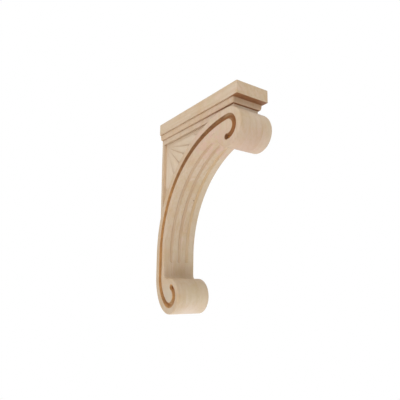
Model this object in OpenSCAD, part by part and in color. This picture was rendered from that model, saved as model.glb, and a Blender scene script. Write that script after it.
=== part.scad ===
// Wooden corbel bracket: a square-edged top board on a carved scroll.
// Millimetres. The back lies on the plane y = 0, which is the wall, and the
// front points along -Y. The origin is on the back, at half the height.

/* [Overall] */
// Height from the foot of the lower roll to the top of the board
total_h = 330; // [300:1:420]
// How far the upper roll stands out from the wall
reach = 222.6; // [185:0.1:250]

/* [Top board] */
// Width of the board
board_w = 60; // [56:1:90]
// Depth of the board from the wall
board_d = 215; // [206:1:260]
// Thickness of the board
board_t = 20; // [12:1:30]

/* [Neck and bed moulding] */
// Width of the neck, which is also the width between the two side panels' frames
neck_w = 47; // [36:0.5:52]
// Setback of the neck's front from the front of the upper roll
neck_setback = 22.6; // [16:0.1:40]
// How far the moulding stands out from the neck at its top
mould_out = 4; // [2:0.1:6]
// How far the moulding stands out from the neck at its foot
mould_foot_out = 2; // [0.5:0.1:2]
// Height of the moulding
mould_h = 8.8; // [5:0.1:11]

/* [Scroll] */
// Width of the scroll band and of both rolls
scroll_w = 60; // [54:1:80]
// Thickness of the band, from its concave front to its back edge
band_t = 25.6; // [18:0.1:30]
// Drop from the top of the board to the highest point of the band
band_drop = 33.3; // [30:0.1:45]
// Radius of the upper roll below its middle
upper_roll_r = 28.3; // [22:0.1:32]
// Radius of the upper roll's shoulder, above its middle
shoulder_r = 30.6; // [24:0.1:36]
// Radius of the lower roll
lower_roll_r = 28.2; // [22:0.1:32]
// Distance from the wall to the middle of the lower roll
lower_roll_d = 42.2; // [36:0.1:50]
// Height of the tail, where the back edge curls under into the lower roll
tail_h = 60; // [40:1:62]
// Radius of the hollow where the concave front meets a roll
cove_r = 8; // [3:0.5:12]

/* [Side grooves] */
// Width of the groove that follows the band on each side
groove_w = 8; // [4:0.1:10]
// Depth of the groove
groove_depth = 3.5; // [1:0.1:5]
// Distance of the groove's middle from the band's back edge
groove_inset = 14; // [10:0.1:16]
// Radius of the groove's curl in each roll
curl_r = 15; // [12:0.1:18]
// How far the groove's straight run reaches below the middle of the arch
groove_run = 37.7; // [10:0.1:40]

/* [Front flutes] */
// Number of flutes down the concave front
flute_count = 3; // [1:1:3]
// Distance between the middles of two flutes
flute_pitch = 15.3; // [10:0.1:18]
// Width of a flute at the surface
flute_w = 6.6; // [3:0.1:9]
// Depth of a flute
flute_depth = 2.2; // [1:0.1:4]
// Angle up the arch at which the flutes end
flute_top = 67; // [45:1:70]
// How far the flutes run down below the middle of the arch
flute_tail = 10; // [2:1:20]

/* [Side panels] */
// Width of the upright frame left at the back of each panel
stile_w = 6.5; // [4:0.5:12]
// Height of the plain frieze between the moulding and the panel
frieze_h = 8.7; // [4:0.1:14]
// Depth of the sunk panel
panel_depth = 3; // [1:0.1:5]
// Depth of the cuts between the petals of the fan, below the panel's ground
vein_depth = 1.5; // [0.5:0.1:3]

/* [Hidden] */
$fn = 96;

maple = [0.80, 0.70, 0.58];
birch = [0.77, 0.66, 0.53];

top_z = total_h / 2;
foot_z = -total_h / 2;
board_z = top_z - board_t;

// In the side view, d is the distance from the wall.
band_top_z = top_z - band_drop;
arch_out_r = reach - neck_setback + 1;
arch_in_r = arch_out_r - band_t;
arch_d = arch_out_r;
arch_z = band_top_z - arch_out_r;
neck_d = reach - neck_setback;

shoulder_d = reach - shoulder_r;
shoulder_gap = arch_out_r - shoulder_r;
shoulder_z = arch_z + sqrt(pow(shoulder_gap, 2) - pow(arch_d - shoulder_d, 2));
shoulder_angle = atan2(shoulder_z - arch_z, shoulder_d - arch_d);
upper_roll_d = reach - upper_roll_r;
lower_roll_z = foot_z + lower_roll_r;
arch_c = [arch_d, arch_z];
shoulder_c = [shoulder_d, shoulder_z];
upper_roll_c = [upper_roll_d, shoulder_z];
lower_roll_c = [lower_roll_d, lower_roll_z];
tail_z = foot_z + tail_h;
tail_steps = 20;

// The hollow under the upper roll touches the arch and the roll.
hollow_span = norm(upper_roll_c - arch_c);
hollow_arch = arch_in_r - cove_r;
hollow_roll = upper_roll_r + cove_r;
hollow_along = (pow(hollow_span, 2) + pow(hollow_arch, 2) - pow(hollow_roll, 2)) / (2 * hollow_span);
hollow_aside = sqrt(pow(hollow_arch, 2) - pow(hollow_along, 2));
hollow_dir = (upper_roll_c - arch_c) / hollow_span;
hollow_c = arch_c + hollow_along * hollow_dir + hollow_aside * [-hollow_dir[1], hollow_dir[0]];

// The hollow above the lower roll touches the leg and the roll.
foot_hollow_d = band_t + cove_r;
foot_hollow_z = lower_roll_z
    + sqrt(pow(lower_roll_r + cove_r, 2) - pow(lower_roll_d - foot_hollow_d, 2));
foot_hollow_c = [foot_hollow_d, foot_hollow_z];

groove_arch_r = arch_out_r - groove_inset;
upper_curl_d = upper_roll_d - 1.3;
upper_curl_z = arch_z + sqrt(pow(groove_arch_r - curl_r, 2) - pow(arch_d - upper_curl_d, 2));
upper_curl_join = atan2(upper_curl_z - arch_z, upper_curl_d - arch_d);
lower_curl_d = lower_roll_d + 1;
lower_curl_z = lower_roll_z + 1;
run_z = arch_z - groove_run;
// The bend between the straight run and the lower curl touches both.
bend_side = lower_curl_d - groove_inset;
bend_rise = run_z - lower_curl_z;
bend_r = (pow(bend_side, 2) + pow(bend_rise, 2) - pow(curl_r, 2)) / (2 * (bend_side - curl_r));
bend_join = atan2(lower_curl_z - run_z, lower_curl_d - groove_inset - bend_r);
curl_top_end = -97;
curl_foot_end = 62;

mould_z = board_z - mould_h;
mould_steps = 8;
panel_z = mould_z - frieze_h;
panel_face = neck_w / 2;

// The veins of the fan start from a point near the panel's upper back corner.
fan_d = stile_w + 1.5;
fan_z = panel_z - 4.5;
fan_angles = [12, 25, 42, 64];
vein_w = 3;
vein_len = 80;
sink = 8;
far = 600;

// Points round a centre from one angle towards another, leaving out the last.
function arc(c, r, from, to, n) = [
    for (i = [0 : n - 1])
        let (a = from + (to - from) * i / n)
        c + r * [cos(a), sin(a)]
];

// Angle of the line from one point to another.
function heading(from, to) = atan2(to[1] - from[1], to[0] - from[0]);

// Local x is the distance from the wall, local y is height, local z is -X.
module side_on() {
    rotate([90, 0, -90]) children();
}

module side_slab(w) {
    side_on() linear_extrude(w, center = true) children();
}

module disc(d, z, r) {
    translate([d, z]) circle(r);
}

// The whole side outline of the band and its rolls, from the tail up the back and
// round to the tail again. Each stretch leaves out its last point, where the next begins.
module scroll_outline() {
    cove_side = heading(upper_roll_c, hollow_c);
    arch_side = heading(arch_c, hollow_c);
    roll_side = heading(foot_hollow_c, lower_roll_c);
    polygon(concat(
        [[0, tail_z]],
        arc(arch_c, arch_out_r, 180, shoulder_angle, 60),
        arc(shoulder_c, shoulder_r, shoulder_angle, 0, 24),
        arc(upper_roll_c, upper_roll_r, 0, cove_side, 40),
        arc(hollow_c, cove_r, cove_side + 180, arch_side, 10),
        arc(arch_c, arch_in_r, arch_side, 180, 48),
        [[band_t, arch_z]],
        arc(foot_hollow_c, cove_r, 180, roll_side + 360, 10),
        arc(lower_roll_c, lower_roll_r, roll_side + 180, -90, 48),
        [for (i = [tail_steps : -1 : 1])
            let (t = 90 * i / tail_steps)
            [lower_roll_d * (1 - cos(t)), tail_z - tail_h * sin(t)]]
    ));
}

// Everything above the arch, sunk a little into the band.
module spandrel(low_d, low_z, high_z, inner_r) {
    difference() {
        translate([low_d, low_z]) square([neck_d - low_d, high_z - low_z]);
        disc(arch_d, arch_z, inner_r);
    }
}

module neck() {
    side_slab(neck_w) spandrel(0, arch_z, board_z, arch_out_r - sink);
}

// One side's sunk panel, with the cuts of its fan.
module panel_cut() {
    side_on() {
        translate([0, 0, panel_face - panel_depth])
            linear_extrude(panel_depth + 1)
                spandrel(stile_w, arch_z, panel_z, arch_out_r - sink);
        intersection() {
            translate([fan_d, fan_z, panel_face - panel_depth])
                for (a = fan_angles)
                    rotate([0, 0, -a]) rotate([45, 0, 0])
                        translate([0, -vein_w / 2, -vein_w / 2]) cube([vein_len, vein_w, vein_w]);
            translate([0, 0, panel_face - panel_depth - vein_depth])
                linear_extrude(vein_depth + 1)
                    spandrel(stile_w, arch_z, panel_z, arch_out_r - sink / 2);
        }
    }
}

// A stretch of a channel in the side view, round a centre, from one angle to another.
module bend(d, z, r, w, from, to) {
    middle = (from + to) / 2;
    translate([d, z])
        intersection() {
            difference() {
                circle(r + w / 2);
                circle(r - w / 2);
            }
            polygon([
                [0, 0],
                far * [cos(from), sin(from)],
                far * [cos((from + middle) / 2), sin((from + middle) / 2)],
                far * [cos(middle), sin(middle)],
                far * [cos((to + middle) / 2), sin((to + middle) / 2)],
                far * [cos(to), sin(to)]
            ]);
        }
}

// The groove's route down the band, with a curl in each roll.
module groove_outline() {
    bend(arch_d, arch_z, groove_arch_r, groove_w, upper_curl_join, 180);
    bend(upper_curl_d, upper_curl_z, curl_r, groove_w, curl_top_end, upper_curl_join);
    translate([groove_inset - groove_w / 2, run_z]) square([groove_w, groove_run]);
    bend(groove_inset + bend_r, run_z, bend_r, groove_w, 180, 360 + bend_join);
    bend(lower_curl_d, lower_curl_z, curl_r, groove_w, bend_join, curl_foot_end);
}

module groove(side) {
    translate([side * (scroll_w / 2 - groove_depth / 2 + 0.5), 0, 0])
        side_slab(groove_depth + 1) groove_outline();
}

// One flute down the concave front: round the arch, then a little way down the leg.
module flute_outline() {
    bend(arch_d, arch_z, arch_in_r, 2 * flute_depth, 180 - flute_top, 180);
    translate([band_t - flute_depth, arch_z - flute_tail])
        square([2 * flute_depth, flute_tail]);
}

module flute(x) {
    translate([x, 0, 0]) side_slab(flute_w) flute_outline();
}

// The moulding's rounded profile, from its foot up, standing out from a face at base.
function mould_profile(base) = [
    for (i = [0 : mould_steps])
        let (t = 90 * i / mould_steps)
        [base + mould_foot_out + (mould_out - mould_foot_out) * sin(t), board_z - mould_h * cos(t)]
];

function flipped(points) = [for (i = [len(points) - 1 : -1 : 0]) [-points[i][0], points[i][1]]];

// Bed moulding round the front and both sides of the neck, mitred at the corners.
module bed_moulding() {
    side_profile = mould_profile(panel_face);
    intersection() {
        side_slab(neck_w + 2 * mould_out)
            polygon(concat([[0, board_z], [0, mould_z]], mould_profile(neck_d)));
        rotate([90, 0, 0])
            linear_extrude(neck_d + mould_out)
                polygon(concat(side_profile, flipped(side_profile)));
    }
}

module scroll_body() {
    color(birch)
        difference() {
            union() {
                difference() {
                    neck();
                    panel_cut();
                    mirror([1, 0, 0]) panel_cut();
                }
                side_slab(scroll_w) scroll_outline();
                bed_moulding();
            }
            for (side = [-1, 1])
                groove(side);
            for (i = [0 : flute_count - 1])
                flute((i - (flute_count - 1) / 2) * flute_pitch);
        }
}

module top_board() {
    color(maple)
        translate([-board_w / 2, -board_d, board_z]) cube([board_w, board_d, board_t]);
}

top_board();
scroll_body();
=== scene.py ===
"""Looks of a carved wooden corbel bracket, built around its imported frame.

Metres. The back lies on y = 0, the front points along -Y, and x = 0 is the middle of the width.
In the side view, d is the distance from the wall and z the height.
"""

import math

import bmesh
import bpy
from mathutils import Matrix, Vector


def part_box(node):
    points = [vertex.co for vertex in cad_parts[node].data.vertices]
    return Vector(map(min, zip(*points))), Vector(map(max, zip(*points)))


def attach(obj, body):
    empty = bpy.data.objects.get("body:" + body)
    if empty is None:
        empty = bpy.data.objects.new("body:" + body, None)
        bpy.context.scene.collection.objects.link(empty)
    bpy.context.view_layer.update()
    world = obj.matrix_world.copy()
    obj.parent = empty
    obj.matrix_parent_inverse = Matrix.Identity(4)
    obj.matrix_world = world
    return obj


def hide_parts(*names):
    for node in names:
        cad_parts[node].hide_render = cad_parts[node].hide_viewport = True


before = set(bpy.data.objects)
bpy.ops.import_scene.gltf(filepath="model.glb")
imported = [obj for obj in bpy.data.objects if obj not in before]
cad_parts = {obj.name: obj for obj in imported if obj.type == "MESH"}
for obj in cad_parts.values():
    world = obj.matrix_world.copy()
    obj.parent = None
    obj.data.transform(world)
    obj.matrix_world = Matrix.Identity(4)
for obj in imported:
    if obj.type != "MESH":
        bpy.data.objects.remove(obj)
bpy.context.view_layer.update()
board_low, board_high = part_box("top_board")
body_low, body_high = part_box("scroll_body")

MM = 0.001

# Points closer than this are one point
MERGE = 0.01 * MM

# Overall
HALF_W = body_high.x
TOTAL_H = 330 * MM
FOOT_Z = board_high.z - TOTAL_H
BOARD_Z = board_low.z
REACH = 222.6 * MM

# Band, with its two rolls
BAND_T = 25.6 * MM
BAND_DROP = 33.3 * MM
ARCH_OUT_R = 201 * MM
ARCH_IN_R = ARCH_OUT_R - BAND_T
ARCH = (ARCH_OUT_R, board_high.z - BAND_DROP - ARCH_OUT_R)
SHOULDER_R = 30.6 * MM
UPPER_ROLL_R = 28.3 * MM
LOWER_ROLL_R = 28.2 * MM
LOWER_ROLL_D = 42.2 * MM
COVE_R = 8 * MM
TAIL_H = 60 * MM
ARRIS = 1.9 * MM
BOARD_EASE = 0.9 * MM

# Neck, moulding and panels
NECK_D = 200 * MM
NECK_HALF_W = 23.5 * MM
MOULD_TOP_OUT = 4 * MM
MOULD_FOOT_OUT = 2 * MM
MOULD_H = 8.8 * MM
FRIEZE_H = 8.7 * MM
STILE_W = 6.5 * MM
PANEL_DEPTH = 4.2 * MM
SINK = 8 * MM
MOULD_EASE = 0.35 * MM
PANEL_EASE = 0.5 * MM
PANEL_RIM_EASE = 1.7 * MM

# Petals of the fan in each panel: their side angles, lengths and, in degrees, the gap to a side
FAN_ANGLES = (0, 12, 25, 42, 64, 90)
PETAL_LENGTHS = (96 * MM, 78 * MM, 68 * MM, 66 * MM, 84 * MM)
PETAL_GAP = 0.3
PETAL_RISE = 3.2 * MM
PETAL_SEAT = 0.3 * MM
PETAL_SIDES = 28
FAN_OUT = 8 * MM
FAN_DROP = 4.5 * MM

# Grooves down the sides
GROOVE_INSET = 14.4 * MM
GROOVE_FLOOR_R = 3.8 * MM
GROOVE_DEPTH = 4.2 * MM
GROOVE_EASE = 1.2 * MM
CURL_R = 15 * MM
UPPER_CURL_BACK = 1.3 * MM
LOWER_CURL_OUT = 1 * MM
CURL_TOP_END = -97
CURL_FOOT_END = 62
GROOVE_RUN = 37.7 * MM
EYE_FLOOR_R = 4.2 * MM
EYE_DEPTH = 5.2 * MM

# Flutes down the concave front
FLUTE_XS = (-15.3 * MM, 0, 15.3 * MM)
FLUTE_FLOOR_R = 3.6 * MM
FLUTE_DEPTH = 1.9 * MM
FLUTE_EASE = 2 * MM
FLUTE_TOP = 68.5
FLUTE_TAIL = 10 * MM
LEAD_R = 120 * MM
LEAD_TURN = 13

# A cutter stands this far proud of the face it cuts, and reaches this far out of it
PROUD = 0.1 * MM
CLEAR = 3 * MM

# Degrees between two facets of a curve
ARCH_STEP = 1.5
PANEL_STEP = 2
CUT_STEP = 2.5
ROLL_STEP = 4
COVE_STEP = 8
PETAL_STEP = 9

# Degrees of turn above which an arris is eased, and above which an edge still looks crisp
EASED_ABOVE = 50
CRISP_ABOVE = 38


def heading(start, end):
    """Angle of the line from start to end in the side view, in degrees."""
    return math.degrees(math.atan2(end[1] - start[1], end[0] - start[0]))


def along(start, angle, distance):
    """The side-view point that lies a distance from start, at an angle."""
    a = math.radians(angle)
    return (start[0] + distance * math.cos(a), start[1] + distance * math.sin(a))


def meeting(a, a_r, b, b_r):
    """Centre of a circle that is a_r from a and b_r from b, to the left of the line from a to b."""
    span = math.dist(a, b)
    forward = (span**2 + a_r**2 - b_r**2) / (2 * span)
    return along(a, heading(a, b) + math.degrees(math.acos(forward / a_r)), a_r)


def place(d, z, x=0.0):
    """A side-view point in the frame."""
    return Vector((x, -d, z))


# Centres in the side view
SHOULDER = (
    REACH - SHOULDER_R,
    ARCH[1] + math.sqrt((ARCH_OUT_R - SHOULDER_R) ** 2 - (ARCH[0] - REACH + SHOULDER_R) ** 2),
)
UPPER_ROLL = (REACH - UPPER_ROLL_R, SHOULDER[1])
LOWER_ROLL = (LOWER_ROLL_D, FOOT_Z + LOWER_ROLL_R)
COVE = meeting(ARCH, ARCH_IN_R - COVE_R, UPPER_ROLL, UPPER_ROLL_R + COVE_R)
FOOT_COVE_D = BAND_T + COVE_R
FOOT_COVE = (
    FOOT_COVE_D,
    LOWER_ROLL[1] + math.sqrt((LOWER_ROLL_R + COVE_R) ** 2 - (LOWER_ROLL[0] - FOOT_COVE_D) ** 2),
)
TAIL_Z = FOOT_Z + TAIL_H

GROOVE_ARCH_R = ARCH_OUT_R - GROOVE_INSET
UPPER_CURL_D = UPPER_ROLL[0] - UPPER_CURL_BACK
UPPER_CURL = (
    UPPER_CURL_D,
    ARCH[1] + math.sqrt((GROOVE_ARCH_R - CURL_R) ** 2 - (ARCH[0] - UPPER_CURL_D) ** 2),
)
LOWER_CURL = (LOWER_ROLL[0] + LOWER_CURL_OUT, LOWER_ROLL[1] + LOWER_CURL_OUT)
RUN_Z = ARCH[1] - GROOVE_RUN
BEND_SIDE = LOWER_CURL[0] - GROOVE_INSET
BEND_RISE = RUN_Z - LOWER_CURL[1]
BEND_R = (BEND_SIDE**2 + BEND_RISE**2 - CURL_R**2) / (2 * (BEND_SIDE - CURL_R))
BEND = (GROOVE_INSET + BEND_R, RUN_Z)

PANEL_TOP_Z = BOARD_Z - MOULD_H - FRIEZE_H
FAN = (FAN_OUT, PANEL_TOP_Z - FAN_DROP)


# ---------------------------------------------------------------- Shaping wood


def turn(bm, geom, centre, degrees, step):
    """Spins geometry about a side-view centre, and returns what lies at the far end."""
    return bmesh.ops.spin(
        bm,
        geom=geom,
        cent=place(*centre),
        axis=(-1, 0, 0),
        angle=math.radians(degrees),
        steps=max(2, round(abs(degrees) / step)),
        use_merge=False,
    )["geom_last"]


def run(bm, geom, move):
    """Draws a vertex or a ring of edges out along a straight line, and returns the far end."""
    edges = [g for g in geom if isinstance(g, bmesh.types.BMEdge)]
    if edges:
        new = bmesh.ops.extrude_edge_only(bm, edges=edges)["geom"]
        new = [g for g in new if not isinstance(g, bmesh.types.BMFace)]
    else:
        made = bmesh.ops.extrude_vert_indiv(bm, verts=geom)
        new = made["verts"]
    bmesh.ops.translate(bm, verts=[g for g in new if isinstance(g, bmesh.types.BMVert)], vec=move)
    return new


def merge(bm):
    """Makes one point of those that coincide."""
    bmesh.ops.remove_doubles(bm, verts=bm.verts, dist=MERGE)


def close(bm):
    """Merges doubles and turns every face outward."""
    merge(bm)
    bmesh.ops.recalc_face_normals(bm, faces=bm.faces)


def slab(bm, low_x, high_x):
    """Fills the outline that lies on x = 0 and gives it its thickness."""
    merge(bm)
    face = bmesh.ops.contextual_create(bm, geom=bm.edges)["faces"]
    bmesh.ops.translate(bm, verts=bm.verts, vec=(low_x, 0, 0))
    far = bmesh.ops.extrude_face_region(bm, geom=face, use_keep_orig=True)["geom"]
    verts = [g for g in far if isinstance(g, bmesh.types.BMVert)]
    bmesh.ops.translate(bm, verts=verts, vec=(high_x - low_x, 0, 0))
    close(bm)


def ease(bm, width, segments, within=lambda v: True):
    """Rounds over every sharp arris whose two ends lie within a part of the piece."""
    limit = math.radians(EASED_ABOVE)
    bmesh.ops.bevel(
        bm,
        geom=[e for e in bm.edges if e.calc_face_angle(0) > limit and all(map(within, e.verts))],
        affect="EDGES",
        offset=width,
        offset_type="OFFSET",
        segments=segments,
        profile=0.5,
        material=-1,
        clamp_overlap=True,
    )


def whittle(name, bm, finishes, finish=0):
    """Turns a bmesh into an object of its own, all in one of its finishes."""
    mesh = bpy.data.meshes.new(name)
    for face in bm.faces:
        face.material_index = finish
    bm.to_mesh(mesh)
    bm.free()
    for material in finishes:
        mesh.materials.append(material)
    piece = bpy.data.objects.new(name, mesh)
    bpy.context.scene.collection.objects.link(piece)
    return piece


def worked(base, operation, others):
    """Unions other pieces with base or cuts them from it, and clears them away."""
    for other in others:
        step = base.modifiers.new(other.name, "BOOLEAN")
        step.operation = operation
        step.solver = "MANIFOLD"
        step.object = other
    shaped = base.evaluated_get(bpy.context.evaluated_depsgraph_get())
    mesh = bpy.data.meshes.new_from_object(shaped)
    base.modifiers.clear()
    base.data = mesh
    for other in others:
        bpy.data.objects.remove(other)
    return base


def sanded(piece):
    """Smooth shading that stays flat on the flats and crisp at what is left sharp."""
    piece.data.shade_smooth()
    piece.data.set_sharp_from_angle(angle=math.radians(CRISP_ABOVE))
    evened = piece.modifiers.new("evened", "WEIGHTED_NORMAL")
    evened.keep_sharp = True
    evened.weight = 100
    return piece


# ---------------------------------------------------------------- Scroll band


def scroll_band(finishes):
    """The band with both rolls: its side outline, as wide as the bracket, with eased arrises."""
    bm = bmesh.new()
    shoulder = heading(ARCH, SHOULDER)
    to_cove = heading(UPPER_ROLL, COVE)
    from_cove = heading(ARCH, COVE)
    to_foot_cove = heading(FOOT_COVE, LOWER_ROLL) + 360
    end = [bm.verts.new(place(0, TAIL_Z))]
    end = run(bm, end, (0, 0, ARCH[1] - TAIL_Z))
    end = turn(bm, end, ARCH, shoulder - 180, ARCH_STEP)
    end = turn(bm, end, SHOULDER, -shoulder, ROLL_STEP)
    end = turn(bm, end, UPPER_ROLL, to_cove, ROLL_STEP)
    end = turn(bm, end, COVE, from_cove - (to_cove + 180), COVE_STEP)
    end = turn(bm, end, ARCH, 180 - from_cove, ARCH_STEP)
    end = run(bm, end, (0, 0, FOOT_COVE[1] - ARCH[1]))
    end = turn(bm, end, FOOT_COVE, to_foot_cove - 180, COVE_STEP)
    end = turn(bm, end, LOWER_ROLL, 90 - to_foot_cove, ROLL_STEP)
    # The tail is a quarter of a circle, pressed narrower towards the wall.
    before = set(bm.verts)
    turn(bm, end, (LOWER_ROLL[0], TAIL_Z), -90, ROLL_STEP)
    tail = [v for v in bm.verts if v not in before]
    middle = Matrix.Translation(-place(LOWER_ROLL[0], TAIL_Z))
    bmesh.ops.scale(bm, verts=tail, vec=(1, LOWER_ROLL[0] / TAIL_H, 1), space=middle)
    slab(bm, -HALF_W, HALF_W)
    ease(bm, ARRIS, 4)
    # Rounding leaves a few points a hair behind the wall, so they are brought back onto it.
    for v in bm.verts:
        v.co.y = min(v.co.y, 0)
    return whittle("scroll_band", bm, finishes)


# ---------------------------------------------------------------- Grooves and flutes

# Facets round half of a cut's end, and across its rim or half of its floor
END_FACETS = 12
BOW_FACETS = 6

# Where the cuts' finishes stand in the scroll's list
GROOVE_FINISH = 1
FLUTE_FINISH = 2


def gouge(bm, floor_r, depth, ease_r):
    """Cross-section of a rounded cut with eased rims, lying across X with Z out of the face."""
    reach = floor_r + ease_r
    lean = math.degrees(math.acos(1 - (depth + PROUD) / reach))
    half_w = reach * math.sin(math.radians(lean))

    def bow(end, x, z, degrees):
        """Carries the outline on along an arc about a point."""
        angle = math.radians(degrees)
        return bmesh.ops.spin(
            bm, geom=end, cent=(x, 0, z), axis=(0, 1, 0), angle=angle, steps=BOW_FACETS
        )["geom_last"]

    end = [bm.verts.new((0, 0, CLEAR))]
    end = run(bm, end, (-half_w, 0, 0))
    end = run(bm, end, (0, 0, PROUD - CLEAR))
    end = bow(end, -half_w, PROUD - ease_r, lean)
    end = bow(end, 0, floor_r - depth, -lean)
    end = bow(end, 0, floor_r - depth, -lean)
    end = bow(end, half_w, PROUD - ease_r, lean)
    end = run(bm, end, (0, 0, CLEAR - PROUD))
    run(bm, end, (-half_w, 0, 0))
    merge(bm)


def side_of(ring, centre, across):
    """The edges of a cut's ring that lie on one side of the line out through its middle."""
    edges = [g for g in ring if isinstance(g, bmesh.types.BMEdge)]
    return [e for e in edges if (e.verts[0].co + e.verts[1].co - 2 * centre).dot(across) > 0]


def half_turned(bm, ring, centre, out, across, degrees, steps):
    """Turns one half of a cut's ring about the line out through its middle."""
    half = side_of(ring, centre, across)
    ends = list({v for e in half for v in e.verts})
    bmesh.ops.spin(
        bm, geom=half + ends, cent=centre, axis=out, angle=math.radians(degrees), steps=steps
    )


def set_down(bm, start, out, forward):
    """Moves a cross-section from its drawing plane to the start of its cut."""
    across = forward.cross(out)
    axes = Matrix((across, forward, out)).transposed().to_4x4()
    bmesh.ops.transform(bm, matrix=Matrix.Translation(start) @ axes, verts=bm.verts)
    return across


def cut_along(name, profile, start, out, forward, route, finishes, finish):
    """A gouge's cut swept along a route on a face, rounded at both ends.

    start is a point on the face, out the way the face looks and forward the way the cut sets off.
    Each leg of the route is a centre to turn about, or None, and the degrees or the move.
    """
    bm = bmesh.new()
    gouge(bm, *profile)
    across = set_down(bm, start, out, forward)
    first = list(bm.verts) + list(bm.edges)
    ring, centre, facing, side = first, start, out, across
    for pivot, amount in route:
        if pivot is None:
            ring = run(bm, ring, amount)
            centre = centre + Vector(amount)
        else:
            ring = turn(bm, ring, pivot, amount, CUT_STEP)
            turned = Matrix.Rotation(math.radians(amount), 3, (-1, 0, 0))
            hub = place(*pivot, start.x)
            centre = hub + turned @ (centre - hub)
            facing, side = turned @ facing, turned @ side
    half_turned(bm, first, start, out, across, -180, END_FACETS)
    half_turned(bm, ring, centre, facing, side, 180, END_FACETS)
    close(bm)
    return whittle(name, bm, finishes, finish)


def eye(middle, out, finishes):
    """A round hollow, deeper than the groove that ends in it."""
    bm = bmesh.new()
    gouge(bm, EYE_FLOOR_R, EYE_DEPTH, GROOVE_EASE)
    across = set_down(bm, middle, out, Vector((0, 0, 1)))
    ring = list(bm.edges)
    half = side_of(ring, middle, across)
    spare = [e for e in ring if e not in half]
    half_turned(bm, ring, middle, out, across, 360, 2 * END_FACETS)
    bmesh.ops.delete(bm, geom=spare, context="EDGES")
    close(bm)
    return whittle("eye", bm, finishes, GROOVE_FINISH)


def side_groove(side, finishes):
    """The groove down one side of the band, curling in each roll, with an eye at both ends."""
    out = Vector((side, 0, 0))
    top_join = heading(ARCH, UPPER_CURL)
    foot_join = heading(BEND, LOWER_CURL) + 360
    profile = (GROOVE_FLOOR_R, GROOVE_DEPTH, GROOVE_EASE)
    start = place(*along(UPPER_CURL, CURL_TOP_END, CURL_R), side * HALF_W)
    forward = place(*along((0, 0), CURL_TOP_END + 90, 1))
    route = [
        (UPPER_CURL, top_join - CURL_TOP_END),
        (ARCH, 180 - top_join),
        (None, (0, 0, -GROOVE_RUN)),
        (BEND, foot_join - 180),
        (LOWER_CURL, 360 + CURL_FOOT_END - foot_join),
    ]
    cuts = [cut_along("groove", profile, start, out, forward, route, finishes, GROOVE_FINISH)]
    for curl, angle in ((UPPER_CURL, CURL_TOP_END), (LOWER_CURL, CURL_FOOT_END)):
        middle = place(*along(curl, angle, CURL_R), side * HALF_W)
        cuts.append(eye(middle, out, finishes))
    return cuts


def front_flutes(finishes):
    """The flutes down the concave front, each from high on the arch to the top of the leg.

    Each starts shallow: its first stretch turns about a nearer centre, until it is at full depth.
    """
    join = 180 - FLUTE_TOP + LEAD_TURN * LEAD_R / ARCH_IN_R
    lead = along(ARCH, join, ARCH_IN_R - LEAD_R)
    start_angle = join - LEAD_TURN
    profile = (FLUTE_FLOOR_R, FLUTE_DEPTH, FLUTE_EASE)
    out = place(*along((0, 0), start_angle + 180, 1))
    forward = place(*along((0, 0), start_angle + 90, 1))
    route = [(lead, LEAD_TURN), (ARCH, 180 - join), (None, (0, 0, -FLUTE_TAIL))]
    cuts = []
    for x in FLUTE_XS:
        start = place(*along(lead, start_angle, LEAD_R), x)
        cut = cut_along("flute", profile, start, out, forward, route, finishes, FLUTE_FINISH)
        cuts.append(cut)
    return cuts


# ---------------------------------------------------------------- Neck, panels and moulding

# Faces that turn by less than this, in radians, are one flat
FLAT = 0.001

# Cuts across the height of the moulding's rounded face
MOULD_CUTS = 9


def petal(low_angle, high_angle, length, side, finishes):
    """One petal of the fan: a cone with a rounded tip, pressed flat against the panel's ground."""
    bm = bmesh.new()
    middle = -(low_angle + high_angle) / 2
    spread = (high_angle - low_angle) / 2 - PETAL_GAP
    lean = math.sin(math.radians(spread))
    tip_at = length / (1 + lean)
    tip = along(FAN, middle, tip_at)
    shoulder = along(FAN, middle + spread, tip_at * math.cos(math.radians(spread)))
    end = [bm.verts.new(place(*FAN))]
    end = run(bm, end, place(*shoulder) - place(*FAN))
    turn(bm, end, tip, -90 - spread, PETAL_STEP)
    axis = place(*tip) - place(*FAN)
    bmesh.ops.spin(
        bm,
        geom=list(bm.verts) + list(bm.edges),
        cent=place(*FAN),
        axis=axis.normalized(),
        angle=2 * math.pi,
        steps=PETAL_SIDES,
        use_merge=True,
    )
    close(bm)
    flat = PETAL_RISE / (tip_at * lean)
    bmesh.ops.scale(bm, verts=bm.verts, vec=(flat, 1, 1))
    ground = side * (NECK_HALF_W - PANEL_DEPTH - PETAL_SEAT)
    bmesh.ops.translate(bm, verts=bm.verts, vec=(ground, 0, 0))
    close(bm)
    return whittle("petal", bm, finishes)


def panel(side, finishes):
    """The hollow of one side's sunk panel, between the stile, the frieze and the band."""
    bm = bmesh.new()
    rim = ARCH_OUT_R - SINK / 2
    top = 180 - math.degrees(math.asin((PANEL_TOP_Z - ARCH[1]) / rim))
    foot = math.degrees(math.acos((STILE_W - ARCH[0]) / rim))
    corner = along(ARCH, top, rim)
    end = [bm.verts.new(place(STILE_W, PANEL_TOP_Z))]
    end = run(bm, end, place(corner[0] - STILE_W, 0))
    end = turn(bm, end, ARCH, foot - top, PANEL_STEP)
    run(bm, end, place(0, PANEL_TOP_Z - along(ARCH, foot, rim)[1]))
    ground, face = NECK_HALF_W - PANEL_DEPTH, NECK_HALF_W + CLEAR
    slab(bm, min(side * ground, side * face), max(side * ground, side * face))
    return whittle("panel", bm, finishes)


def round_the_panel(v):
    """Whether a corner of the neck lies on the outer rim of a sunk panel."""
    on_face = abs(v.co.x) > NECK_HALF_W - MERGE
    return on_face and v.co.y < MERGE - STILE_W and v.co.z < PANEL_TOP_Z + MERGE


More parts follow.
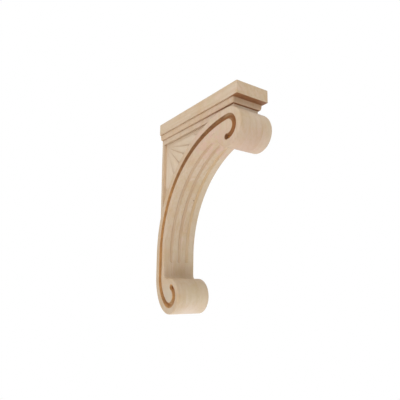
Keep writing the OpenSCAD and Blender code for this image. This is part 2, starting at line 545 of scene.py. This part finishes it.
def neck(finishes):
    """The upright block behind the band, with a fan in each side's sunk panel."""
    bm = bmesh.new()
    rim = ARCH_OUT_R - SINK
    front = math.degrees(math.acos((NECK_D - ARCH[0]) / rim))
    end = [bm.verts.new(place(0, ARCH[1]))]
    end = run(bm, end, place(ARCH[0] - rim, 0))
    end = turn(bm, end, ARCH, front - 180, PANEL_STEP)
    end = run(bm, end, (0, 0, BOARD_Z - along(ARCH, front, rim)[1]))
    end = run(bm, end, (0, NECK_D, 0))
    run(bm, end, (0, 0, ARCH[1] - BOARD_Z))
    slab(bm, -NECK_HALF_W, NECK_HALF_W)
    block = whittle("neck", bm, finishes)
    worked(block, "DIFFERENCE", [panel(side, finishes) for side in (-1, 1)])
    bm = bmesh.new()
    bm.from_mesh(block.data)
    bmesh.ops.dissolve_limit(bm, angle_limit=FLAT, verts=bm.verts, edges=bm.edges)
    ease(bm, PANEL_RIM_EASE, 3, within=round_the_panel)
    ease(bm, PANEL_EASE, 2)
    bm.to_mesh(block.data)
    bm.free()
    petals = [
        petal(low, high, length, side, finishes)
        for side in (-1, 1)
        for low, high, length in zip(FAN_ANGLES, FAN_ANGLES[1:], PETAL_LENGTHS)
    ]
    return worked(block, "UNION", petals)


def bed_moulding(finishes):
    """The moulding under the board, round the neck's front and sides, with a rounded face."""
    bm = bmesh.new()
    half, front, foot = NECK_HALF_W + MOULD_FOOT_OUT, NECK_D + MOULD_FOOT_OUT, BOARD_Z - MOULD_H
    bmesh.ops.create_cube(bm, size=1)
    bmesh.ops.scale(bm, verts=bm.verts, vec=(2 * half, front, MOULD_H))
    bmesh.ops.translate(bm, verts=bm.verts, vec=(0, -front / 2, foot + MOULD_H / 2))
    upright = [e for e in bm.edges if abs(e.verts[0].co.z - e.verts[1].co.z) > MOULD_H / 2]
    bmesh.ops.subdivide_edges(bm, edges=upright, cuts=MOULD_CUTS)
    for v in bm.verts:
        lean = math.pi / 2 * (v.co.z - foot) / MOULD_H
        out = (MOULD_TOP_OUT - MOULD_FOOT_OUT) * math.sin(lean)
        v.co.x += math.copysign(out, v.co.x)
        if v.co.y < -front / 2:
            v.co.y -= out
        v.co.z = BOARD_Z - MOULD_H * math.cos(lean)
    ease(bm, MOULD_EASE, 2)
    return whittle("bed_moulding", bm, finishes)


def top_board(finishes):
    """The square-edged board, with its arrises just taken off."""
    bm = bmesh.new()
    size = board_high - board_low
    bmesh.ops.create_cube(bm, size=1)
    bmesh.ops.scale(bm, verts=bm.verts, vec=size)
    bmesh.ops.translate(bm, verts=bm.verts, vec=(board_low + board_high) / 2)
    ease(bm, BOARD_EASE, 3)
    return whittle("board", bm, finishes)


# ---------------------------------------------------------------- Tones


def srgb(red, green, blue):
    """A colour given in 0-255 steps, as light."""
    steps = [v / 255 for v in (red, green, blue)]
    return (*[v / 12.92 if v < 0.04045 else ((v + 0.055) / 1.055) ** 2.4 for v in steps], 1)


# The wood as it is all over
PALE = srgb(206, 186, 161)
CREAM = srgb(202, 179, 150)
HONEY = srgb(196, 164, 124)
ROSY = srgb(212, 184, 164)
STRAW = srgb(198, 179, 143)
GROWTH_LINE = srgb(172, 138, 104)

# Staves and patches of the scroll; several of them are light and shade painted into the colour
STAVE_PALE_AND_PAINTED_LIGHT = srgb(214, 197, 172)
STAVE_WARM_AND_PAINTED_SHADE = srgb(198, 170, 140)
BLUSH = srgb(207, 169, 155)
ROSE_AND_PAINTED_SHADE = srgb(192, 155, 138)
DUSKY_BROWN_AND_PAINTED_SHADE = srgb(168, 134, 84)
PAINTED_BOUNCE_LIGHT = srgb(220, 200, 184)
AMBER = srgb(196, 154, 112)
CHEEK_GREY = srgb(194, 182, 162)
PAINTED_SHEEN = srgb(216, 203, 186)
PANEL_PAINTED_LIGHT = srgb(220, 204, 182)
STILE_PAINTED_LIGHT = srgb(236, 208, 174)
PAINTED_SHADE_BROWN = srgb(144, 97, 61)
KNOT_BROWN = srgb(128, 88, 62)

# Wood in the cuts: its browns, with painted light and shade among them
GROOVE_BROWN = srgb(200, 150, 92)
GROOVE_DARK = srgb(134, 92, 56)
CROWN_BROWN = srgb(180, 150, 114)
CURL_BROWN = srgb(176, 118, 64)
HOLLOW_PAINTED_LIGHT = srgb(184, 152, 112)
FLOOR_BROWN = srgb(142, 86, 30)
EYE_BROWN = srgb(172, 108, 34)
FLUTE_WARM = srgb(186, 152, 118)
FLUTE_GOLD = srgb(198, 163, 116)

# Where one stave of the block is glued to the next
STAVE_XS = (-14 * MM, 12 * MM)

# The pin knot on the concave front: its angle up the arch, its place across and its radius
KNOT_ANGLE = 148.6
KNOT_X = 11 * MM
KNOT_R = 2 * MM

# Grain: its growth lines, its run and the relief it leaves on sanded and on cut wood
LINE_SPACING = 9 * MM
ALONG_GRAIN = 0.06
GRAIN_SHIFT = (0.11, 0.07, 0)
STAVE_SHIFT = (0.043, 0.061, 0.37)
GRAIN_TILT = math.radians(8)
GRAIN_DEPTH = 0.25 * MM
GRAIN_STRENGTH = 0.35
SANDED_ROUGH = 0.5
CUT_ROUGH = 0.7

# Patches of tone on the scroll, some of them painted light and shade: middle, radius, strength,
# tone, and whether on both sides
PATCHES = {
    # Pinker and darker beneath the upper roll: pink tone and painted shade
    "pink and painted shade beneath the upper roll": (
        place(UPPER_ROLL[0] + 8 * MM, UPPER_ROLL[1] - 25 * MM),
        45 * MM,
        0.5,
        ROSE_AND_PAINTED_SHADE,
        False,
    ),
    # Browner and darker low on the leg, where the lower roll shades it: brown tone and painted
    # shade
    "brown and painted shade low on the leg": (
        place(BAND_T, FOOT_COVE[1] + 4 * MM, 8 * MM),
        34 * MM,
        0.35,
        DUSKY_BROWN_AND_PAINTED_SHADE,
        False,
    ),
    # Paler and whiter beneath the lower roll: painted bounce light from the floor
    "painted bounce light beneath the lower roll": (
        place(LOWER_ROLL[0] + 12 * MM, FOOT_Z + 3 * MM),
        30 * MM,
        0.6,
        PAINTED_BOUNCE_LIGHT,
        False,
    ),
    "front of the lower roll": (
        place(LOWER_ROLL[0] + LOWER_ROLL_R, LOWER_ROLL[1] + 12 * MM),
        32 * MM,
        0.45,
        STRAW,
        False,
    ),
    "end grain at the top of the arch": (
        place(UPPER_ROLL[0] - 12 * MM, ARCH[1] + ARCH_IN_R - 4 * MM, 19 * MM),
        24 * MM,
        0.6,
        AMBER,
        False,
    ),
    "cheeks of the lower roll": (
        place(*LOWER_ROLL, HALF_W),
        30 * MM,
        0.6,
        CHEEK_GREY,
        True,
    ),
    # Paler and greyer on top of the upper roll: painted sheen of the light from above
    "painted sheen atop the upper roll": (
        place(UPPER_ROLL[0] + 12 * MM, UPPER_ROLL[1] + 24 * MM),
        32 * MM,
        0.45,
        PAINTED_SHEEN,
        False,
    ),
}

# Patches of tone in the grooves, on both sides: middle, radius, strength and tone
GROOVE_PATCHES = {
    "crown of the upper curl": (
        place(UPPER_CURL[0], UPPER_CURL[1] + CURL_R, HALF_W),
        16 * MM,
        0.75,
        CROWN_BROWN,
    ),
    "front of the upper curl": (
        place(UPPER_CURL[0] + CURL_R, UPPER_CURL[1] - 4 * MM, HALF_W),
        24 * MM,
        0.9,
        CURL_BROWN,
    ),
    "back of the lower curl": (
        place(LOWER_CURL[0] - CURL_R, LOWER_CURL[1] - 4 * MM, HALF_W),
        16 * MM,
        0.6,
        GROOVE_DARK,
    ),
}

# The mottled blush high on the band
BLUSH_AT = place(150 * MM, ARCH[1] + 165 * MM)
BLUSH_R = 85 * MM

# Painted light in the hollow at the bottom of the lower curl, where shade falls
HOLLOW = place(LOWER_CURL[0] + 5 * MM, LOWER_CURL[1] - CURL_R, HALF_W)
HOLLOW_R = 14 * MM


# ---------------------------------------------------------------- Mixing a finish


class Wire:
    """A number socket. Arithmetic on it adds Math nodes."""

    def __init__(self, bench, socket):
        self.bench = bench
        self.socket = socket

    def _math(self, operation, *values):
        return self.bench.node(
            "ShaderNodeMath", "Value", {"operation": operation}, dict(enumerate(values))
        )

    def __add__(self, other):
        return self._math("ADD", self, other)

    def __sub__(self, other):
        return self._math("SUBTRACT", self, other)

    def __rsub__(self, other):
        return self._math("SUBTRACT", other, self)

    def __mul__(self, other):
        return self._math("MULTIPLY", self, other)

    def __pow__(self, other):
        return self._math("POWER", self, other)

    def __rpow__(self, other):
        return self._math("POWER", other, self)

    def __neg__(self):
        return self._math("MULTIPLY", self, -1)

    def __abs__(self):
        return self._math("ABSOLUTE", self)

    def __gt__(self, other):
        return self._math("GREATER_THAN", self, other)

    def __lt__(self, other):
        return self._math("LESS_THAN", self, other)

    __radd__ = __add__
    __rmul__ = __mul__


class Bench:
    """The bench a finish is mixed on: one material and its nodes."""

    def __init__(self, name):
        self.material = bpy.data.materials.new(name)
        self.material.use_nodes = True
        self.tree = self.material.node_tree
        self.tree.nodes.clear()
        self.at = self.node("ShaderNodeTexCoord", "Object")
        apart = self.node("ShaderNodeSeparateXYZ", None, {}, {"Vector": self.at})
        self.x, self.y, self.z = (Wire(self, apart.outputs[axis]) for axis in "XYZ")

    def node(self, kind, output, settings=None, inputs=None):
        """Adds a node: its settings first, then the values or wires of its sockets."""
        node = self.tree.nodes.new(kind)
        for name, value in (settings or {}).items():
            setattr(node, name, value)
        for name, value in (inputs or {}).items():
            if isinstance(value, Wire):
                self.tree.links.new(value.socket, node.inputs[name])
            else:
                node.inputs[name].default_value = value
        return node if output is None else Wire(self, node.outputs[output])

    def mapped(self, vector, turn=(0, 0, 0), shift=(0, 0, 0), scale=(1, 1, 1)):
        """A place, stretched, turned and shifted."""
        inputs = {"Vector": vector, "Rotation": turn, "Location": shift, "Scale": scale}
        return self.node("ShaderNodeMapping", "Vector", {"vector_type": "POINT"}, inputs)

    def noise(self, vector, scale, detail):
        """An even noise over a place, a scale to the metre."""
        inputs = {"Vector": vector, "Scale": scale, "Detail": detail, "Roughness": 0.55}
        return self.node("ShaderNodeTexNoise", "Fac", {}, inputs)

    def fade(self, value, low, high):
        """0 below low and 1 above high, with a smooth step between."""
        settings = {"interpolation_type": "SMOOTHSTEP"}
        inputs = {"Value": value, "From Min": low, "From Max": high}
        return self.node("ShaderNodeMapRange", "Result", settings, inputs)

    def blend(self, factor, colour, other):
        """A colour, gone over to another by a factor."""
        settings = {"data_type": "RGBA", "blend_type": "MIX"}
        return self.node("ShaderNodeMix", 2, settings, {0: factor, 6: colour, 7: other})

    def distance(self, place_on, point):
        """How far a place is from a point."""
        inputs = {0: place_on, 1: point}
        return self.node("ShaderNodeVectorMath", "Value", {"operation": "DISTANCE"}, inputs)

    def near(self, point, radius, both_sides=False):
        """1 at a point, falling to 0 a radius away, and if asked the same on the other side."""
        place_on = self.at
        if both_sides:
            parts = {"X": abs(self.x), "Y": self.y, "Z": self.z}
            place_on = self.node("ShaderNodeCombineXYZ", "Vector", {}, parts)
        return 1 - self.fade(self.distance(place_on, point), 0, radius)

    def from_arch(self):
        """How far the wood is from the arch's middle, and below it from the upright through it."""
        inputs = {0: self.z, 1: ARCH[1]}
        level = self.node("ShaderNodeMath", "Value", {"operation": "MAXIMUM"}, inputs)
        flat = self.node("ShaderNodeCombineXYZ", "Vector", {}, {"Y": self.y, "Z": level})
        return self.distance(flat, place(*ARCH))

    def finish(self, colour, height, roughness=SANDED_ROUGH):
        """Joins the wood's colour and the height of its grain to its surface."""
        inputs = {"Height": height, "Distance": GRAIN_DEPTH, "Strength": GRAIN_STRENGTH}
        bump = self.node("ShaderNodeBump", "Normal", {}, inputs)
        inputs = {
            "Base Color": colour,
            "Roughness": roughness,
            "Normal": bump,
            "Specular IOR Level": 0.5,
        }
        wood = self.node("ShaderNodeBsdfPrincipled", "BSDF", {}, inputs)
        self.node("ShaderNodeOutputMaterial", None, {}, {"Surface": wood})
        return self.material


# ---------------------------------------------------------------- Finishes


def growth_lines(bench, at):
    """Growth lines round the tree's middle, wavering a little: 1 on the dark line."""
    settings = {"wave_type": "RINGS", "rings_direction": "Z", "wave_profile": "SIN"}
    inputs = {
        "Vector": at,
        "Scale": math.pi / (10 * LINE_SPACING),
        "Distortion": 6.0,
        "Detail": 2.0,
        "Detail Scale": 0.5,
        "Detail Roughness": 0.5,
    }
    return bench.node("ShaderNodeTexWave", "Fac", settings, inputs) ** 3


def timber(bench, tilt, stave=None):
    """The bare wood that every finish starts from: its colour and the height of its grain.

    Its grain runs up along Z, tilted about X. Each stave is cut from another part of the tree.
    """
    at = bench.mapped(bench.at, turn=(tilt, 0, 0))
    if stave is not None:
        parts = {axis: stave * amount for axis, amount in zip("XYZ", STAVE_SHIFT)}
        shift = bench.node("ShaderNodeCombineXYZ", "Vector", {}, parts)
        at = bench.node("ShaderNodeVectorMath", "Vector", {"operation": "ADD"}, {0: at, 1: shift})
    long_grain = bench.mapped(at, shift=GRAIN_SHIFT, scale=(1, 1, ALONG_GRAIN))
    lines = growth_lines(bench, long_grain)
    streak = bench.noise(long_grain, 260, 3)
    fibre = bench.noise(long_grain, 1500, 2)
    fleck = bench.fade(bench.noise(long_grain, 900, 1), 0.66, 0.72)
    cloud = bench.noise(at, 22, 2)
    honeyed = bench.noise(at, 46, 3)
    rosy = bench.noise(at, 75, 3)
    strawy = bench.noise(at, 88, 3)

    colour = bench.blend(bench.fade(cloud, 0.35, 0.65), PALE, CREAM)
    colour = bench.blend(0.55 * bench.fade(honeyed, 0.48, 0.7), colour, HONEY)
    colour = bench.blend(0.5 * bench.fade(rosy, 0.52, 0.7), colour, ROSY)
    colour = bench.blend(0.5 * bench.fade(strawy, 0.5, 0.72), colour, STRAW)
    colour = bench.blend(0.12 * lines, colour, GROWTH_LINE)
    colour = bench.blend(0.5 * bench.fade(streak, 0.42, 0.72), colour, HONEY)
    colour = bench.blend(0.16 * bench.fade(fibre, 0.4, 0.7), colour, GROWTH_LINE)
    colour = bench.blend(0.25 * fleck, colour, GROWTH_LINE)
    return colour, 0.7 * fibre + 0.3 * streak - 0.15 * lines


def staves(bench):
    """Three staves glued side by side across the width, each a little different in tone, partly its
    own and partly painted light and shade.
    """
    stave = (bench.x > STAVE_XS[0]) + (bench.x > STAVE_XS[1])
    colour, height = timber(bench, GRAIN_TILT, stave)
    # Paler on the right stave and warmer on the left: partly the staves' own tone, partly painted
    # light from the right and painted shade on the left
    colour = bench.blend(0.3 * (bench.x > STAVE_XS[1]), colour, STAVE_PALE_AND_PAINTED_LIGHT)
    colour = bench.blend(0.22 * (bench.x < STAVE_XS[0]), colour, STAVE_WARM_AND_PAINTED_SHADE)
    return colour, height


def with_patches(bench, colour):
    """The scroll's patches of tone, some of them painted light and shade, and a mottled blush high
    on the band.
    """
    blush = bench.near(BLUSH_AT, BLUSH_R)
    mottle = bench.fade(bench.noise(bench.at, 70, 3), 0.42, 0.58)
    colour = bench.blend(0.75 * blush * mottle, colour, BLUSH)
    for middle, radius, strength, tone, both_sides in PATCHES.values():
        colour = bench.blend(strength * bench.near(middle, radius, both_sides), colour, tone)
    return colour


def with_panels(bench, colour):
    """Painted light in the sunk panels, painted shade in the fan's valleys and along the panel's
    top edge, warm painted light along the stile's shaded edge.
    """
    sunk = 1 - bench.fade(abs(bench.x), NECK_HALF_W - 1.2 * MM, NECK_HALF_W - 0.2 * MM)
    sunk = sunk * bench.fade(-bench.y, STILE_W - 1 * MM, STILE_W) * (bench.z > ARCH[1])
    behind = bench.fade(bench.from_arch(), ARCH_OUT_R - SINK, ARCH_OUT_R)
    behind = sunk * behind * (bench.y > -0.7 * NECK_D)
    # Paler in the sunk panels: painted light where the recess is in shade
    colour = bench.blend(0.36 * behind, colour, PANEL_PAINTED_LIGHT)
    ground = NECK_HALF_W - PANEL_DEPTH
    valley_shade = 1 - bench.fade(abs(bench.x), ground - 0.2 * MM, ground + 1.6 * MM)
    # Darker in the fan's valleys: painted shade
    colour = bench.blend(0.28 * valley_shade * behind, colour, GROWTH_LINE)
    off_stile = bench.fade(abs(-bench.y - STILE_W), 0.8 * MM, 2 * MM)
    # Lighter along the stile's inner wall: painted light on a shaded wall
    colour = bench.blend(0.5 * sunk * (1 - off_stile), colour, STILE_PAINTED_LIGHT)
    # A dark line along the panel's top edge: painted shade
    panel_top_shade = bench.fade(bench.z, PANEL_TOP_Z - 2 * MM, PANEL_TOP_Z - 0.5 * MM)
    panel_top_shade = panel_top_shade * (1 - bench.fade(bench.z, PANEL_TOP_Z, PANEL_TOP_Z + 0.3 * MM))
    return bench.blend(0.15 * sunk * panel_top_shade, colour, PAINTED_SHADE_BROWN)


def with_corners(bench, colour):
    """The moulding a little warmer, and painted shade in the corners above and below it.

    The painted shade is deepest at the front, and stays off the back, which lies on the wall.
    """
    ahead = bench.fade(-bench.y, 90 * MM, 200 * MM)
    in_front = bench.fade(-bench.y, NECK_D, NECK_D + 1 * MM)
    off_wall = bench.fade(-bench.y, 0.5 * MM, 3 * MM)
    mould_foot = BOARD_Z - MOULD_H
    mould = bench.fade(bench.z, mould_foot - 0.2 * MM, mould_foot + 0.2 * MM)
    # Where shade is painted under the board and under the moulding's foot
    under_board_shade = bench.fade(bench.z, BOARD_Z - 0.9 * MM, BOARD_Z - 0.1 * MM)
    under_mould_shade = bench.fade(bench.z, mould_foot - 1.1 * MM, mould_foot - 0.1 * MM)
    under_mould_shade = under_mould_shade * (1 - bench.fade(bench.z, mould_foot, mould_foot + 0.5 * MM))
    colour = bench.blend((0.2 + 0.2 * in_front) * off_wall * mould, colour, AMBER)
    # Brown under the board and under the moulding's foot: painted shade, deepest at the front
    colour = bench.blend((0.1 + 0.7 * ahead) * off_wall * under_board_shade, colour, PAINTED_SHADE_BROWN)
    return bench.blend((0.32 + 0.68 * ahead) * off_wall * under_mould_shade, colour, PAINTED_SHADE_BROWN)


def body_timber(bench):
    """The wood of the whole scroll, before its cuts are browned: its colour and its height."""
    colour, height = staves(bench)
    colour = with_patches(bench, colour)
    colour = with_panels(bench, colour)
    return with_corners(bench, colour), height


def pale_wood():
    """Bare sanded wood of the scroll, neck and moulding, with one pin knot on the arch."""
    bench = Bench("pale_wood")
    colour, height = body_timber(bench)
    knot = bench.near(place(*along(ARCH, KNOT_ANGLE, ARCH_IN_R), KNOT_X), KNOT_R)
    return bench.finish(bench.blend(knot, colour, KNOT_BROWN), height)


def groove_wood():
    """The side grooves: brown, most of all at the bottom and in the eyes, with painted shade
    further up the arch and painted light in the lower curl's hollow.
    """
    bench = Bench("groove_wood")
    colour, height = body_timber(bench)
    down = HALF_W - abs(bench.x)
    mottled = 0.35 * bench.fade(bench.noise(bench.at, 110, 2), 0.3, 0.7)
    # Darker further up the arch: painted shade
    higher_shade = bench.fade(bench.z, ARCH[1] + 85 * MM, ARCH[1] + 165 * MM)
    brown = bench.blend(mottled + 0.65 * higher_shade, GROOVE_BROWN, GROOVE_DARK)
    for middle, radius, strength, tone in GROOVE_PATCHES.values():
        brown = bench.blend(strength * bench.near(middle, radius, True), brown, tone)
    # Lighter in the lower curl's hollow: painted light against the shade there
    hollow_light = bench.near(HOLLOW, HOLLOW_R, True)
    brown = bench.blend(0.85 * hollow_light, brown, HOLLOW_PAINTED_LIGHT)
    colour = bench.blend(bench.fade(down, -0.4 * MM, 0.6 * MM), colour, brown)
    deep = bench.fade(down, 2.6 * MM, 4.6 * MM) * (1 - 0.85 * hollow_light)
    colour = bench.blend(deep, colour, FLOOR_BROWN)
    colour = bench.blend(bench.fade(down, 4.4 * MM, 5 * MM), colour, EYE_BROWN)
    return bench.finish(colour, height, CUT_ROUGH)


def flute_wood():
    """The front flutes: a little warmer and darker towards their floor, here more and there less:
    partly their own tone, partly painted shade.
    """
    bench = Bench("flute_wood")
    colour, height = body_timber(bench)
    # Warmer and darker towards the flutes' floor: partly their own tone, partly painted shade
    down = bench.fade(bench.from_arch(), ARCH_IN_R - 0.2 * MM, ARCH_IN_R + 1.3 * MM)
    uneven = bench.noise(bench.mapped(bench.at, scale=(4, 1, 1)), 14, 2)
    patchy = 0.45 + 0.55 * bench.fade(uneven, 0.35, 0.65)
    warm = bench.blend(bench.x > FLUTE_XS[2] / 2, FLUTE_WARM, FLUTE_GOLD)
    return bench.finish(bench.blend(0.7 * down * patchy, colour, warm), height)


def board_wood():
    """The top board, with its grain along the depth, and painted shade on its underside, deepest at
    the front.
    """
    bench = Bench("board_wood")
    colour, height = timber(bench, math.radians(90))
    # Brown on the underside, more towards the front: painted shade
    under = 1 - bench.fade(bench.z, BOARD_Z + 0.1 * MM, BOARD_Z + 0.8 * MM)
    ahead = bench.fade(-bench.y, 190 * MM, 206 * MM)
    return bench.finish(bench.blend((0.28 + 0.72 * ahead) * under, colour, PAINTED_SHADE_BROWN), height)


# ---------------------------------------------------------------- Put together

body_finishes = [pale_wood(), groove_wood(), flute_wood()]
body = scroll_band(body_finishes)
worked(body, "UNION", [neck(body_finishes), bed_moulding(body_finishes)])
cuts = [cut for side in (-1, 1) for cut in side_groove(side, body_finishes)]
worked(body, "DIFFERENCE", cuts + front_flutes(body_finishes))
body.name = "carved_scroll"
sanded(body)
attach(body, "root")
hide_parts("scroll_body")

board = sanded(top_board([board_wood()]))
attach(board, "root")
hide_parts("top_board")


# ---------------------------------------------------------------- Studio

WHITE = (1, 1, 1)
SKY = 0.422
FLOOR_DROP = 0.2
FLOOR_HALF = 6
FLOOR_GLOW = 0.415
FLOOR_PAINT = (0.9, 0.9, 0.9, 1)
FLOOR_ROUGH = 0.9

# Soft square lights: place, aim, size, power and colour
LIGHTS = {
    "high_light": ((-0.3, -0.9, 0.9), (0, -0.15, 0.1), 0.7, 5.1, WHITE),
    "top_light": ((0, -0.15, 1.3), (0, -0.15, 0.1), 0.8, 2.94, WHITE),
    "back_light": ((-0.9, 0.3, 0.5), (0, -0.1, 0), 0.7, 3.66, WHITE),
    "low_light": ((-0.03, -0.26, -0.34), (0, -0.06, -0.15), 0.15, 0.17, (0.78, 0.92, 1)),
}

CAMERA_AT = (-0.38167, -0.62610, -0.11870)
CAMERA_TURN = math.radians(-35.21)
CAMERA_LIFT = math.radians(11.54)
CAMERA_ROLL = math.radians(0.45)
LENS = 37.44
SENSOR_W = 36


def area_light(name, at, aim, size, power, colour):
    """A soft square light at a place, turned to face another, and itself unseen."""
    lamp = bpy.data.lights.new(name, "AREA")
    lamp.size = size
    lamp.energy = power
    lamp.color = colour
    holder = bpy.data.objects.new(name, lamp)
    holder.location = at
    holder.rotation_euler = (Vector(aim) - Vector(at)).to_track_quat("-Z", "Y").to_euler()
    holder.visible_camera = False
    bpy.context.scene.collection.objects.link(holder)


def surround():
    """An even light from all round that looks plain white."""
    scene = bpy.context.scene
    scene.view_settings.view_transform = "Standard"
    world = bpy.data.worlds.new("surround")
    scene.world = world
    world.use_nodes = True
    nodes, links = world.node_tree.nodes, world.node_tree.links
    sky = nodes["Background"]
    backdrop = nodes.new("ShaderNodeBackground")
    backdrop.inputs["Color"].default_value = sky.inputs["Color"].default_value = (*WHITE, 1)
    sky.inputs["Strength"].default_value = SKY
    seen = nodes.new("ShaderNodeLightPath")
    either = nodes.new("ShaderNodeMixShader")
    links.new(seen.outputs["Is Camera Ray"], either.inputs["Fac"])
    links.new(sky.outputs["Background"], either.inputs[1])
    links.new(backdrop.outputs["Background"], either.inputs[2])
    links.new(either.outputs["Shader"], nodes["World Output"].inputs["Surface"])


def floor():
    """A plain floor that looks white, and throws a soft glow up onto the wood."""
    bm = bmesh.new()
    bmesh.ops.create_grid(bm, x_segments=1, y_segments=1, size=FLOOR_HALF)
    bmesh.ops.translate(bm, verts=bm.verts, vec=(0, 0, FOOT_Z - FLOOR_DROP))
    bench = Bench("floor_paint")
    inputs = {
        "Base Color": FLOOR_PAINT,
        "Roughness": FLOOR_ROUGH,
        "Emission Color": (*WHITE, 1),
        "Emission Strength": FLOOR_GLOW,
    }
    paint = bench.node("ShaderNodeBsdfPrincipled", "BSDF", {}, inputs)
    lit = bench.node("ShaderNodeEmission", "Emission", {}, {"Color": (*WHITE, 1), "Strength": 1})
    seen = bench.node("ShaderNodeLightPath", "Is Camera Ray")
    either = bench.node("ShaderNodeMixShader", "Shader", {}, {0: seen, 1: paint, 2: lit})
    bench.node("ShaderNodeOutputMaterial", None, {}, {"Surface": either})
    whittle("floor", bm, [bench.material])


def camera():
    """The camera: low, in front and to one side, looking a little up."""
    level = Vector((-math.sin(CAMERA_TURN), math.cos(CAMERA_TURN), 0))
    right = Vector((math.cos(CAMERA_TURN), math.sin(CAMERA_TURN), 0))
    ahead = math.cos(CAMERA_LIFT) * level + math.sin(CAMERA_LIFT) * Vector((0, 0, 1))
    up = right.cross(ahead)
    right, up = (
        math.cos(CAMERA_ROLL) * right + math.sin(CAMERA_ROLL) * up,
        math.cos(CAMERA_ROLL) * up - math.sin(CAMERA_ROLL) * right,
    )
    lens = bpy.data.cameras.new("camera")
    lens.lens = LENS
    lens.sensor_width = SENSOR_W
    holder = bpy.data.objects.new("camera", lens)
    facing = Matrix((right, up, -ahead)).transposed().to_4x4()
    holder.matrix_world = Matrix.Translation(CAMERA_AT) @ facing
    bpy.context.scene.collection.objects.link(holder)
    bpy.context.scene.camera = holder


surround()
floor()
for name, settings in LIGHTS.items():
    area_light(name, *settings)
camera()
